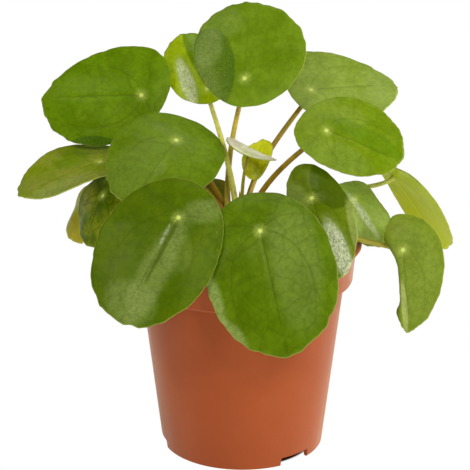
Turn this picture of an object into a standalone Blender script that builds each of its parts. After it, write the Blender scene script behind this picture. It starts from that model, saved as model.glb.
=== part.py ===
"""Potted Chinese money plant (Pilea peperomioides) in a round plastic nursery pot.

Every length below is in millimetres and every angle in degrees; build() works in metres.
The pot's axis is Z, its base stands on z = 0, and the plant's front faces -Y.
A leaf is two pieces: the blade, a shield with its stalk under it, and the stalk itself.
"""
import math
from dataclasses import dataclass

import bmesh
import bpy
from mathutils import Euler, Vector, noise

MM = 0.001
GAP = 0.3                     # clearance between pieces that touch

# pot: a 12 cm nursery pot, one thin moulded shell
POT_HEIGHT = 107.5
LIP_RADIUS = 60.0
LIP_THICKNESS = 2.2
BAND_TOP_RADIUS = 57.2        # the straight band under the lip
BAND_FOOT_RADIUS = 55.8
BAND_FOOT_Z = 88.0
BODY_TOP_RADIUS = 51.6        # the tapered body under the band
FOOT_RADIUS = 41.5
WALL = 1.4
FOOT_RING_WIDTH = 2.8
CHANNEL_HEIGHT = 5.0          # raised drain channel inside the foot ring
PAD_RADIUS = 25.0             # middle of the base, which stands on the floor
POT_SIDES = 48
NOTCH_ANGLES = (-50, 70, 190)  # openings in the foot ring
NOTCH_WIDTH = 25
NOTCH_HEIGHT = 4.6
DRAIN_HOLES = 8
DRAIN_RADIUS = 3.5

# soil and the short trunk that stands in it
SOIL_TOP = 97.0
SOIL_LUMPS = 1.6
TRUNK_RADIUS = 5.2
TRUNK_TOP_RADIUS = 3.6
TRUNK_FOOT_Z = 76.0
TRUNK_TOP_Z = 124.0
SCAR_SPACING = 4.2

# leaves
BLADE_THICKNESS = 0.9
BLADE_RINGS = (0.0, 0.3, 0.58, 0.82, 1.0)
BLADE_SECTORS = 24
TIP_SPREAD = 0.16             # radians of the outline that the pointed tip takes up
STALK_SIDES_LEVEL = 1         # six sides
STALK_STEPS = 8


@dataclass
class Leaf:
    """One leaf, placed by the point where its stalk meets the blade.

    dot            that point, on the upper face
    heading        compass angle of the tip, 0 = +X, 90 = +Y
    pitch, roll    how far the tip hangs down, how far the left side is raised
    length, width  of the blade; base is the share of the length behind the dot
    egg            above 0 the blade is widest near the tip, below 0 near the base
    asym, shear    share by which the left half is wider, slant of the cross axis
    bends          how far tip, base, left and right side turn down towards their edge
    waves          (height, count, phase) of the ripples round the edge
    folds          (side, start at the base and at the tip, width, angle, from, to)
    root, rise     where the stalk leaves the trunk, and its first handle
    drop           length of the handle under the blade
    stalk          radius of the stalk at its root and at the blade
    """

    name: str
    dot: tuple
    heading: float
    pitch: float
    roll: float
    length: float
    width: float
    root: tuple
    rise: tuple
    drop: float
    base: float = 0.26
    egg: float = 0.0
    asym: float = 0.0
    shear: float = 0.0
    point: float = 0.012
    bends: tuple = (12, 12, 12, 12)
    waves: tuple = ()
    folds: tuple = ()
    stalk: tuple = (1.5, 1.1)
    rings: tuple = BLADE_RINGS
    sectors: int = BLADE_SECTORS
    colour: str = "green"

    def turns(self):
        """The blade's turns about X, Y and Z."""
        return [math.radians(turn) for turn in (self.roll, self.pitch, self.heading)]

    def outline(self, angle):
        """Edge of the flat blade at an angle round the dot's oval, 0 at the tip."""
        half = 0.5 * self.width * (1 + self.asym * math.copysign(1, math.sin(angle)))
        across = half * math.sin(angle) * (1 + self.egg * math.cos(angle))
        along = self.length * (0.5 - self.base + 0.5 * math.cos(angle))
        off_tip = abs(math.remainder(angle, 2 * math.pi))
        along += self.point * self.length * math.exp(-(off_tip / TIP_SPREAD) ** 1.5)
        return along + self.shear * across, across

    def section_angle(self, along, across, distance):
        """Angle below flat of the cross-section, at a distance out from the midrib."""
        bend = self.bends[2] if across > 0 else self.bends[3]
        angle = math.radians(bend) * distance / (0.5 * self.width)
        for side, starts, width, degrees, first, last in self.folds:
            if (across > 0) == (side == "left"):
                share = smooth((along - first) / (last - first))
                start = starts[0] + (starts[1] - starts[0]) * share
                angle += math.radians(degrees) * share * smooth((distance - start) / width)
        return angle

    def surface(self, radius, angle, steps=16):
        """Point of the bent upper face, in the leaf's own frame: tip +X, left +Y."""
        along, across = (radius * value for value in self.outline(angle))
        reach = self.length * ((1 - self.base) if along > 0 else self.base)
        curve = math.radians(self.bends[0] if along > 0 else self.bends[1]) / reach
        slope = curve * along
        centre_x = math.sin(curve * along) / curve
        centre_z = -(1 - math.cos(curve * along)) / curve
        side = drop = 0.0
        for step in range(steps):
            turned = self.section_angle(along, across, abs(across) * (step + 0.5) / steps)
            side += across / steps * math.cos(turned)
            drop += abs(across) / steps * math.sin(turned)
        lift = -drop + sum(height * radius ** 2 * math.cos(count * angle + math.radians(phase))
                           for height, count, phase in self.waves)
        return Vector((centre_x + lift * math.sin(abs(slope)) * math.copysign(1, along),
                       side, centre_z + lift * math.cos(slope)))


LEAVES = (
    Leaf("left_upper", (-51.3, 30, 175.2), 178, 1, -66, 64.5, 52, (-4.5, 4, 112), (-8, 16, 24), 20,
         base=0.21, egg=-0.16, asym=-0.02, shear=0.32, point=0.02, bends=(15, 10, 12, 14),
         waves=((0.7, 3, 40),)),
    Leaf("left_far", (-72, 16, 144), -170, 17, -15, 59, 41, (-5, 1, 109), (-25, 4, 22), 14,
         asym=-0.1, egg=-0.05, shear=-0.35, bends=(12, 10, -12, -12), waves=((0.8, 4, 0),), colour="olive"),
    Leaf("left_inner", (-32.5, -3, 160), -122, 27, -25, 64, 54, (-5, -1.5, 117), (-10, 2, 14), 16,
         base=0.3, asym=-0.03, shear=-0.1, egg=-0.18, bends=(20, 18, 14, 18), waves=((0.7, 3, 10),)),
    Leaf("front_left", (-30, -53, 135.3), -135, 46, -35, 76, 57, (-3.5, -4, 112), (-5, -12, 16), 14,
         base=0.26, asym=-0.05, point=0.0, bends=(14, 16, 12, 12), waves=((0.6, 5, 60),)),
    Leaf("front", (8, -55, 129.4), -66, 58, 20, 80, 62, (1, -5, 111), (2, -14, 16), 10,
         base=0.26, egg=0.03, asym=0.04, point=0.02, bends=(18, 28, 14, 14), waves=((0.6, 5, 20),)),
    Leaf("top", (1, 10, 188), 84, -58, 0, 56.5, 56, (-7, 4, 118), (-3, 12, 34), 14,
         egg=0.1, asym=-0.06, point=0.0, bends=(10, 10, 8, 8), waves=((0.6, 4, 45),)),
    Leaf("back_top", (-18, 34, 177.7), 124, -46, -24, 45.5, 37.5, (-3, 0.5, 122), (-3, -5, 32), 11,
         base=0.18, asym=-0.1, bends=(20, 15, 25, 15), waves=((0.9, 4, 30),), colour="light"),
    Leaf("right_upper", (35, 30, 178), 8, -4, 32, 56, 53, (1.6, 4.2, 118), (1, 10, 27), 9,
         base=0.2, egg=-0.3, asym=0.12, shear=-0.2, point=0.0, bends=(8, 10, 10, 10), waves=((0.8, 3, 80),)),
    Leaf("right_middle", (41, -5, 165.3), -12, 17, 40, 55, 46, (3.8, -1, 117.5), (3, 0, 24), 4,
         base=0.28, asym=0.18, shear=0.12, egg=-0.04, point=0.0, bends=(15, 12, 12, 14), waves=((0.6, 3, 0),)),
    Leaf("right_front", (33, -30, 138.2), -70, 38, 16, 64, 31, (4, -3.5, 115.5), (8, -6, 14), 12,
         base=0.34, egg=-0.05, asym=0.2, bends=(38, 15, 25, 20), waves=((0.9, 4, 70),)),
    Leaf("right_small", (57, 6, 127), -42, 46, 10, 39, 31, (5, -1, 112.5), (16, -2, 16), 10,
         base=0.3, egg=-0.05, asym=0.08, bends=(10, 15, 20, 15), waves=((1.1, 5, 30),), stalk=(1.3, 0.9)),
    Leaf("right_back", (78, 24, 134), 12, 51, -18, 58, 44, (5, 2.5, 110), (22, 15, 24), 14,
         base=0.18, asym=-0.35, bends=(14, 12, 8, 8), waves=((0.7, 3, 20),), colour="light"),
    Leaf("right_low", (79, -18, 108), -76, 70, 8, 58, 31, (5, -2.5, 107.5), (25, -14, 17), 14,
         base=0.31, egg=-0.2, asym=0.34, point=0.025, bends=(12, 10, 12, 10), folds=(("right", (9.5, 1.5), 4, 150, -18, 10), ("right", (1, 1), 3, -95, 23, 32)),
         rings=(0.0, 0.2, 0.4, 0.55, 0.7, 0.85, 1.0), sectors=36),
    Leaf("left_low", (-70, 2, 130), -160, 62, -14, 38, 42, (-5, -2.5, 106), (-20, 0, 16), 10,
         base=0.3, bends=(20, 10, 15, 15), waves=((0.7, 4, 10),)),
    Leaf("left_old", (-77, 28, 126), -170, 54, -10, 34, 36, (-4.5, 3, 105), (-26, 3, 14), 10,
         base=0.14, egg=0.4, bends=(20, 10, 15, 15), waves=((0.8, 4, 80),), colour="yellow"),
    Leaf("back_low", (-22, 32, 124), 160, 4, -8, 46, 44, (-1, 5.5, 112), (-2, 8, 6), 8,
         base=0.34, bends=(10, 20, 10, 10), waves=((0.7, 3, 50),)),
    Leaf("young_flat", (3.2, -2, 152.8), -34, 15, -6, 28.5, 13, (-0.3, -1.2, 121), (0, 0, 14), 10,
         base=0.5, point=0.06, bends=(-22, -24, -16, -16), stalk=(1.0, 0.7), sectors=16, colour="pale"),
    Leaf("young_cupped", (6.6, 8, 139), 66, -70, 0, 21, 15, (1.5, 1.2, 121), (0.5, 1, 8), 4,
         base=0.12, egg=0.2, asym=0.1, shear=-0.25, point=0.03, bends=(20, 5, -15, -15), stalk=(1.1, 0.8), sectors=16,
         colour="lime"),
)

# Principled base colours of the pieces, linear RGB
PLASTIC = (0.42, 0.10, 0.045)
COLOURS = {"green": (0.09, 0.24, 0.01), "olive": (0.17, 0.24, 0.03), "light": (0.24, 0.40, 0.02),
           "pale": (0.50, 0.55, 0.35), "lime": (0.35, 0.36, 0.01), "yellow": (0.28, 0.24, 0.03)}
STALK_COLOUR = (0.26, 0.17, 0.02)
TRUNK_COLOUR = (0.12, 0.07, 0.03)
SOIL_COLOUR = (0.02, 0.012, 0.008)


def smooth(share):
    share = min(max(share, 0.0), 1.0)
    return share * share * (3 - 2 * share)


def material(name, colour, roughness):
    made = bpy.data.materials.new(name)
    made.use_nodes = True
    shader = made.node_tree.nodes["Principled BSDF"]
    shader.inputs["Base Color"].default_value = (*colour, 1.0)
    shader.inputs["Roughness"].default_value = roughness
    return made


def mesh_object(name, bm, finish=None, smooth_angle=40):
    """Turns a bmesh, in millimetres, into an object and shades it."""
    bmesh.ops.scale(bm, vec=(MM, MM, MM), verts=bm.verts)
    mesh = bpy.data.meshes.new(name)
    bm.to_mesh(mesh)
    bm.free()
    mesh.shade_smooth()
    mesh.set_sharp_from_angle(angle=math.radians(smooth_angle))
    made = bpy.data.objects.new(name, mesh)
    bpy.context.scene.collection.objects.link(made)
    if finish is None:
        made.hide_render = True
        made.display_type = "WIRE"
    else:
        mesh.materials.append(finish)
    return made


def turned(profile, sides):
    """Spins a profile of (radius, height) points round Z into a closed shell."""
    bm = bmesh.new()
    verts = [bm.verts.new((radius, 0, z)) for radius, z in profile]
    edges = [bm.edges.new(pair) for pair in zip(verts, verts[1:])]
    if profile[0][0] > 0:
        edges.append(bm.edges.new((verts[-1], verts[0])))
    bmesh.ops.spin(bm, geom=verts + edges, cent=(0, 0, 0), axis=(0, 0, 1),
                   angle=2 * math.pi, steps=sides, use_merge=True)
    bmesh.ops.remove_doubles(bm, verts=bm.verts, dist=0.001)
    bmesh.ops.recalc_face_normals(bm, faces=bm.faces)
    return bm


def arc(centre, radius, first, last, steps):
    """Points of a round corner in the profile's plane."""
    for step in range(steps + 1):
        angle = math.radians(first + (last - first) * step / steps)
        yield centre[0] + radius * math.cos(angle), centre[1] + radius * math.sin(angle)


def subtract(target, cutter):
    cut = target.modifiers.new("cut " + cutter.name, "BOOLEAN")
    cut.operation = "DIFFERENCE"
    cut.solver = "EXACT"
    cut.object = cutter


def box_cutter(name, size, centre, angle=0.0):
    bm = bmesh.new()
    bmesh.ops.create_cube(bm, size=1)
    bmesh.ops.scale(bm, vec=size, verts=bm.verts)
    bmesh.ops.translate(bm, vec=centre, verts=bm.verts)
    made = mesh_object(name, bm)
    made.rotation_euler.z = math.radians(angle)
    return made


def cylinder_cutter(name, radius, bottom, top, centre=(0, 0), sides=16):
    bm = bmesh.new()
    bmesh.ops.create_cone(bm, cap_ends=True, segments=sides, radius1=radius, radius2=radius,
                          depth=top - bottom)
    bmesh.ops.translate(bm, vec=(*centre, (bottom + top) / 2), verts=bm.verts)
    return mesh_object(name, bm)


def body_radius(z):
    """Outside of the tapered body at a height."""
    return FOOT_RADIUS + (BODY_TOP_RADIUS - FOOT_RADIUS) * z / BAND_FOOT_Z


def make_pot(finish):
    lip = LIP_THICKNESS / 2
    ring_inside = FOOT_RADIUS - FOOT_RING_WIDTH
    floor = CHANNEL_HEIGHT + WALL
    outside = [(0, 0), (PAD_RADIUS, 0), (PAD_RADIUS + 1.5, CHANNEL_HEIGHT),
               (ring_inside, CHANNEL_HEIGHT), (ring_inside + 0.4, 0), (FOOT_RADIUS - 0.6, 0),
               (FOOT_RADIUS, 0.8), (BODY_TOP_RADIUS, BAND_FOOT_Z),
               *arc((BAND_FOOT_RADIUS - 1.2, BAND_FOOT_Z + 1.2), 1.2, -90, 0, 3),
               (BAND_TOP_RADIUS, POT_HEIGHT - LIP_THICKNESS),
               *arc((LIP_RADIUS - lip, POT_HEIGHT - lip), lip, -90, 90, 4)]
    inside = [(BAND_TOP_RADIUS - WALL, POT_HEIGHT - 1.0),
              (BAND_FOOT_RADIUS - WALL, BAND_FOOT_Z + WALL + 0.4),
              (body_radius(BAND_FOOT_Z) - WALL, BAND_FOOT_Z + WALL),
              (body_radius(floor) - WALL, floor), (PAD_RADIUS - 0.4, floor),
              (PAD_RADIUS - 1.9, WALL), (0, WALL)]
    pot = mesh_object("pot", turned(outside + inside, POT_SIDES), finish, 30)
    notch_length = 2 * FOOT_RADIUS * math.sin(math.radians(NOTCH_WIDTH / 2))
    for number, angle in enumerate(NOTCH_ANGLES):
        depth = FOOT_RING_WIDTH + 6
        subtract(pot, box_cutter(f"notch_{number}", (depth, notch_length, 2 * NOTCH_HEIGHT),
                                 (FOOT_RADIUS - FOOT_RING_WIDTH / 2, 0, 0), angle))
    for number in range(DRAIN_HOLES):
        angle = 2 * math.pi * (number + 0.5) / DRAIN_HOLES
        reach = (PAD_RADIUS + ring_inside) / 2
        centre = (reach * math.cos(angle), reach * math.sin(angle))
        subtract(pot, cylinder_cutter(f"drain_{number}", DRAIN_RADIUS, 1, floor + 3, centre, 10))
    return pot


def make_soil(finish):
    """Potting mix, a gap's width clear of the pot, with a lumpy top and the trunk's hole."""
    floor = CHANNEL_HEIGHT + WALL + GAP
    shelf = BAND_FOOT_Z + WALL + GAP
    wall = WALL + GAP
    rings = (0.0, 9.0, 18.0, 27.0, 36.0, 45.0, BAND_FOOT_RADIUS - wall - 0.2)
    top = [(radius, SOIL_TOP) for radius in rings]
    side = [(BAND_FOOT_RADIUS - wall - 0.2, shelf + 0.4), (body_radius(shelf) - wall - 0.4, shelf),
            (body_radius(floor) - wall, floor), (PAD_RADIUS - 0.6, floor),
            (PAD_RADIUS - 2.3, WALL + GAP), (0, WALL + GAP)]
    bm = turned(top + side, 32)
    for vert in bm.verts:
        if vert.co.z > SOIL_TOP - 0.01:
            vert.co.z += SOIL_LUMPS * noise.noise(vert.co * 0.14)
    soil = mesh_object("soil", bm, finish)
    hole = cylinder_cutter("trunk_hole", TRUNK_RADIUS + GAP, TRUNK_FOOT_Z - GAP, SOIL_TOP + 20)
    subtract(soil, hole)
    return soil


def trunk_profile(grown=0.0):
    """Trunk with the raised scars of shed leaves, and a domed top."""
    profile = [(0, TRUNK_FOOT_Z - grown), (TRUNK_RADIUS + grown, TRUNK_FOOT_Z - grown)]
    z = SOIL_TOP + 4
    while z < TRUNK_TOP_Z - 4:
        share = (z - SOIL_TOP) / (TRUNK_TOP_Z - SOIL_TOP)
        radius = TRUNK_RADIUS + (TRUNK_TOP_RADIUS - TRUNK_RADIUS) * share + grown
        profile += [(radius - 0.5, z - 1.0), (radius, z)]
        z += SCAR_SPACING
    dome = TRUNK_TOP_RADIUS - 0.4 + grown
    profile += list(arc((0, TRUNK_TOP_Z - TRUNK_TOP_RADIUS), dome, 10, 90, 3))
    profile[-1] = (0, profile[-1][1])
    return profile


def make_trunk(finish):
    return mesh_object("trunk", turned(trunk_profile(), 14), finish)


def make_blade(leaf, finish):
    bm = bmesh.new()
    verts = [bm.verts.new((ring, 0, 0)) for ring in leaf.rings]
    edges = [bm.edges.new(pair) for pair in zip(verts, verts[1:])]
    bmesh.ops.spin(bm, geom=verts + edges, cent=(0, 0, 0), axis=(0, 0, 1),
                   angle=2 * math.pi, steps=leaf.sectors, use_merge=True)
    bmesh.ops.remove_doubles(bm, verts=bm.verts, dist=0.001)
    bm.normal_update()
    turned_over = [face for face in bm.faces if face.normal.z < 0]
    bmesh.ops.reverse_faces(bm, faces=turned_over)
    for vert in bm.verts:
        vert.co = leaf.surface(vert.co.xy.length, math.atan2(vert.co.y, vert.co.x))
    bmesh.ops.triangulate(bm, faces=bm.faces)
    blade = mesh_object("blade_" + leaf.name, bm, finish, 80)
    blade.location = Vector(leaf.dot) * MM
    blade.rotation_euler = leaf.turns()
    body = blade.modifiers.new("thickness", "SOLIDIFY")
    body.thickness = BLADE_THICKNESS * MM
    body.offset = -1
    return blade


def make_stalk(leaf, finish, trunk_cutter):
    """Stalk from the trunk to the underside of the blade, which it meets squarely."""
    upwards = Euler(leaf.turns()).to_matrix() @ Vector((0, 0, 1))
    top = Vector(leaf.dot) - (BLADE_THICKNESS + GAP) * upwards
    root = Vector(leaf.root)
    curve = bpy.data.curves.new("stalk", "CURVE")
    curve.dimensions = "3D"
    curve.resolution_u = STALK_STEPS
    curve.bevel_depth = MM
    curve.bevel_resolution = STALK_SIDES_LEVEL
    curve.use_fill_caps = True
    spline = curve.splines.new("BEZIER")
    spline.bezier_points.add(1)
    ends = ((root, -Vector(leaf.rise), Vector(leaf.rise)),
            (top, -leaf.drop * upwards, leaf.drop * upwards))
    for point, (place, before, after), radius in zip(spline.bezier_points, ends, leaf.stalk):
        point.co = place * MM
        point.handle_left = (place + before) * MM
        point.handle_right = (place + after) * MM
        point.radius = radius
    guide = bpy.data.objects.new("guide", curve)
    mesh = bpy.data.meshes.new_from_object(guide)
    bpy.data.objects.remove(guide)
    bpy.data.curves.remove(curve)
    mesh.shade_smooth()
    mesh.set_sharp_from_angle(angle=math.radians(60))
    mesh.materials.clear()
    mesh.materials.append(finish)
    stalk = bpy.data.objects.new("stalk_" + leaf.name, mesh)
    bpy.context.scene.collection.objects.link(stalk)
    subtract(stalk, trunk_cutter)
    return stalk


def build():
    for old in list(bpy.data.objects):
        bpy.data.objects.remove(old)
    make_pot(material("pot plastic", PLASTIC, 0.4))
    make_soil(material("potting mix", SOIL_COLOUR, 0.95))
    make_trunk(material("trunk bark", TRUNK_COLOUR, 0.8))
    trunk_cutter = mesh_object("trunk_cutter", turned(trunk_profile(GAP), 14))
    stalk_finish = material("stalk", STALK_COLOUR, 0.4)
    finishes = {name: material("blade " + name, colour, 0.35)
                for name, colour in COLOURS.items()}
    for leaf in LEAVES:
        make_blade(leaf, finishes[leaf.colour])
        make_stalk(leaf, stalk_finish, trunk_cutter)


build()
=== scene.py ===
"""Visual model of a potted Chinese money plant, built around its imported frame.

Shapes are worked out in millimetres and scaled to metres as each piece is finished.
Every leaf is placed as in the frame: by the point where its stalk meets the blade.
"""
import math
from dataclasses import dataclass
from random import Random

import bmesh
import bpy
from mathutils import Euler, Matrix, Vector, geometry, noise


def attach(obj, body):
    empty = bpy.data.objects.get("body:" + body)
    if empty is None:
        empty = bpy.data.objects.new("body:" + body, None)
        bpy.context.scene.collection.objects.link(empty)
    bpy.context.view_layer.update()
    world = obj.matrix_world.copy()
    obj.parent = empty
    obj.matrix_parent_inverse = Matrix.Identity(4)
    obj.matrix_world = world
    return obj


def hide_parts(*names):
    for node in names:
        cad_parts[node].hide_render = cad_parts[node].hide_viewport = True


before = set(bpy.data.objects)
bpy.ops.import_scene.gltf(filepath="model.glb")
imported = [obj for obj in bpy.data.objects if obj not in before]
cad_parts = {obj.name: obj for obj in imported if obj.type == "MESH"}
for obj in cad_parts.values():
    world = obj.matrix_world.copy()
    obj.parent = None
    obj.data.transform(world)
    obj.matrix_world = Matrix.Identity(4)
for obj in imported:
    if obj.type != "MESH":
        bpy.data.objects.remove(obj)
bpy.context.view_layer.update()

MM = 0.001

# pot
POT_HEIGHT = 107.5
LIP_RADIUS = 60.0
LIP_THICKNESS = 2.2
BAND_TOP_RADIUS = 57.2
BAND_FOOT_RADIUS = 55.8
BAND_FOOT_Z = 88.0
BODY_TOP_RADIUS = 51.6
FOOT_RADIUS = 41.5
WALL = 1.4
FOOT_RING_WIDTH = 2.8
CHANNEL_HEIGHT = 5.0
PAD_RADIUS = 25.0
POT_STEPS = 160
NOTCH_ANGLES = (-50, 70, 190)
NOTCH_WIDTH = 25
NOTCH_HEIGHT = 4.6
DRAIN_HOLES = 8
DRAIN_RADIUS = 3.5
DRAIN_STEPS = 32
POT_CREASE = 32               # degrees past which the pot's edges look sharp

# soil and trunk
GAP = 0.3                     # clearance between pot and soil
SOIL_TOP = 97.0
SOIL_LUMPS = 1.6
SOIL_STEPS = 160
SOIL_CREASE = 60
CRUMBS = 900
CRUMB_REACH = 53.0
TRUNK_RADIUS = 5.2
TRUNK_TOP_RADIUS = 3.6
TRUNK_FOOT_Z = 76.0
TRUNK_TOP_Z = 124.0
SCAR_SPACING = 4.2
TRUNK_STEPS = 48
BRACTS = 9
BRACT_STEPS = 8
BRACT_SIDES = 8
BRACT_RADIUS = 0.9
BRACT_FLATNESS = 0.3

# leaves
BLADE_THICKNESS = 0.6
BLADE_RINGS = 34
BLADE_SECTORS = 144
TIP_SPREAD = 0.16
SECTION_STEPS = 12            # steps in which a cross-section's bend is added up
MIDRIB_GROOVE = (0.24, 1.4)   # depth and width
ARC_GROOVE = (0.08, 1.6)
DOT_DIMPLE = (0.3, 2.6)
STALK_STEPS = 44
STALK_SIDES = 14
STALK_FLATNESS = 0.94
STALK_CREASE = 50
UV_SPAN = 120.0               # millimetres across the blade's UV map

# camera, light and floor
CAMERA_TARGET = (-3.7, 0, 110)
CAMERA_DISTANCE = 780
CAMERA_TILT = 17.5
LENS = 118.9
SENSOR_WIDTH = 36
LIGHTS = (                    # name, place, target, sides, watts
    ("key", (230, -740, 690), (0, 0, 120), (170, 170), 2.6),
    ("left", (-430, -580, 700), (0, 0, 120), (200, 200), 2.0),
    ("right", (900, -60, 300), (0, 0, 110), (1200, 900), 9.6),
    ("overhead", (60, 100, 950), (0, 0, 120), (400, 300), 1.9),
)
WORLD_LIGHT = 0.24
FLOOR_REACH = 3000
GLOW_RADII = (0.25, 0.9)      # metres over which the floor's light grows to full
SHADE_RADII = (0.029, 0.037)  # metres over which the dark under the pot gives way to light
SEEN_RADII = (0.0362, 0.038)  # the same, for the painted shade that shows in the notches


def linear(red, green, blue):
    """Linear colour with alpha from a screen colour of 0 to 255."""
    def channel(value):
        share = value / 255
        return share / 12.92 if share <= 0.04045 else ((share + 0.055) / 1.055) ** 2.4
    return channel(red), channel(green), channel(blue), 1.0


def mixed(first, second, share):
    """Values that share of the way from the first to the second."""
    return tuple(a + (b - a) * share for a, b in zip(first, second))


def smooth(share):
    """Smooth step from 0 to 1."""
    share = min(max(share, 0.0), 1.0)
    return share * share * (3 - 2 * share)


# ---------------------------------------------------------------- materials

class Wire:
    """A socket in a Python expression; each operation on it adds a Math node."""

    def __init__(self, finish, socket):
        self.finish = finish
        self.socket = socket

    def maths(self, operation, *others):
        inputs = dict(enumerate((self, *others)))
        return self.finish.node("Math", {"operation": operation}, inputs)

    def __add__(self, other):
        return self.maths("ADD", other)

    def __sub__(self, other):
        return self.maths("SUBTRACT", other)

    def __rsub__(self, other):
        return self.finish.node("Math", {"operation": "SUBTRACT"}, {0: other, 1: self})

    def __mul__(self, other):
        return self.maths("MULTIPLY", other)

    def __truediv__(self, other):
        return self.maths("DIVIDE", other)

    __radd__ = __add__
    __rmul__ = __mul__

    def __abs__(self):
        return self.maths("ABSOLUTE")

    def __pow__(self, other):
        return self.maths("POWER", other)


class Finish:
    """A material in the making, round its Principled shader."""

    def __init__(self, name, roughness=0.5, specular=0.5):
        self.material = bpy.data.materials.new(name)
        self.material.use_nodes = True
        self.tree = self.material.node_tree
        self.shader = self.tree.nodes["Principled BSDF"]
        self.shader.inputs["Roughness"].default_value = roughness
        self.shader.inputs["Specular IOR Level"].default_value = specular

    def feed(self, socket, value):
        """Links an expression to a socket, or sets it to a plain value."""
        if isinstance(value, Wire):
            self.tree.links.new(value.socket, socket)
        else:
            socket.default_value = value

    def node(self, kind, settings=None, inputs=None, output=0):
        """Adds a node: its settings first, then its sockets; gives back one output."""
        made = self.tree.nodes.new("ShaderNode" + kind)
        for name, value in (settings or {}).items():
            setattr(made, name, value)
        for name, value in (inputs or {}).items():
            self.feed(made.inputs[name], value)
        return Wire(self, made.outputs[output])

    def put(self, **values):
        """Feeds the shader's own sockets, named with _ for a space."""
        for name, value in values.items():
            self.feed(self.shader.inputs[name.replace("_", " ")], value)

    def step(self, value, first, last, low=0.0, high=1.0):
        """Smooth step of a value from low to high."""
        return self.node("MapRange", {"interpolation_type": "SMOOTHSTEP"},
                         {0: value, 1: first, 2: last, 3: low, 4: high})

    def line(self, distance, half_width, blur):
        """1 on a line, 0 past its blurred edges."""
        return self.step(abs(distance), half_width, half_width + blur, 1.0, 0.0)

    def mix(self, share, first, second):
        return self.node("Mix", {"data_type": "RGBA"}, {0: share, 6: first, 7: second}, 2)

    def noise(self, place, scale, detail=2.0, roughness=0.5):
        return self.node("TexNoise", None, {"Vector": place, "Scale": scale, "Detail": detail,
                                            "Roughness": roughness})

    def cracks(self, place, scale, randomness=1.0):
        """Distance to the walls of random cells, in cell sizes."""
        return self.node("TexVoronoi", {"feature": "DISTANCE_TO_EDGE"},
                         {"Vector": place, "Scale": scale, "Randomness": randomness})

    def bump(self, height, distance, strength):
        return self.node("Bump", None, {"Height": height, "Distance": distance,
                                        "Strength": strength})

    def place(self):
        """Object coordinates, in metres."""
        return self.node("TexCoord", output=3)

    def stretched(self, place, scale):
        return self.node("Mapping", None, {0: place, 3: scale})


# ---------------------------------------------------------------- pieces

def finished(name, bm, finishes, smooth_angle=180, slot=None, replaces=()):
    """Turns a bmesh in millimetres into a piece; one given a slot rides on the plant's one body."""
    bmesh.ops.scale(bm, vec=(MM, MM, MM), verts=bm.verts)
    mesh = bpy.data.meshes.new(name)
    bm.to_mesh(mesh)
    bm.free()
    mesh.shade_smooth()
    if smooth_angle < 180:
        mesh.set_sharp_from_angle(angle=math.radians(smooth_angle))
    for finish in finishes:
        mesh.materials.append(finish.material)
    piece = bpy.data.objects.new(name, mesh)
    bpy.context.scene.collection.objects.link(piece)
    if slot:
        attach(piece, "root")
    if replaces:
        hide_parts(*replaces)
    return piece


def turned(profile, steps):
    """Spins a profile of (radius, height) points round Z into a closed shell."""
    bm = bmesh.new()
    verts = [bm.verts.new((radius, 0, z)) for radius, z in profile]
    edges = [bm.edges.new(pair) for pair in zip(verts, verts[1:])]
    if profile[0][0] > 0:
        edges.append(bm.edges.new((verts[-1], verts[0])))
    bmesh.ops.spin(bm, geom=verts + edges, cent=(0, 0, 0), axis=(0, 0, 1),
                   angle=2 * math.pi, steps=steps, use_merge=True)
    bmesh.ops.remove_doubles(bm, verts=bm.verts, dist=0.001)
    bmesh.ops.recalc_face_normals(bm, faces=bm.faces)
    return bm


def arc(centre, radius, first, last, steps):
    """Points of a round corner in a profile's plane."""
    for step in range(steps + 1):
        angle = math.radians(first + (last - first) * step / steps)
        yield centre[0] + radius * math.cos(angle), centre[1] + radius * math.sin(angle)


def spaced(points, gap):
    """A profile with points added so that none lie further apart than a gap."""
    close = [points[0]]
    for (x0, z0), (x1, z1) in zip(points, points[1:]):
        parts = max(1, math.ceil(math.hypot(x1 - x0, z1 - z0) / gap))
        close += [(x0 + (x1 - x0) * part / parts, z0 + (z1 - z0) * part / parts)
                  for part in range(1, parts + 1)]
    return close


# ---------------------------------------------------------------- leaves

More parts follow.
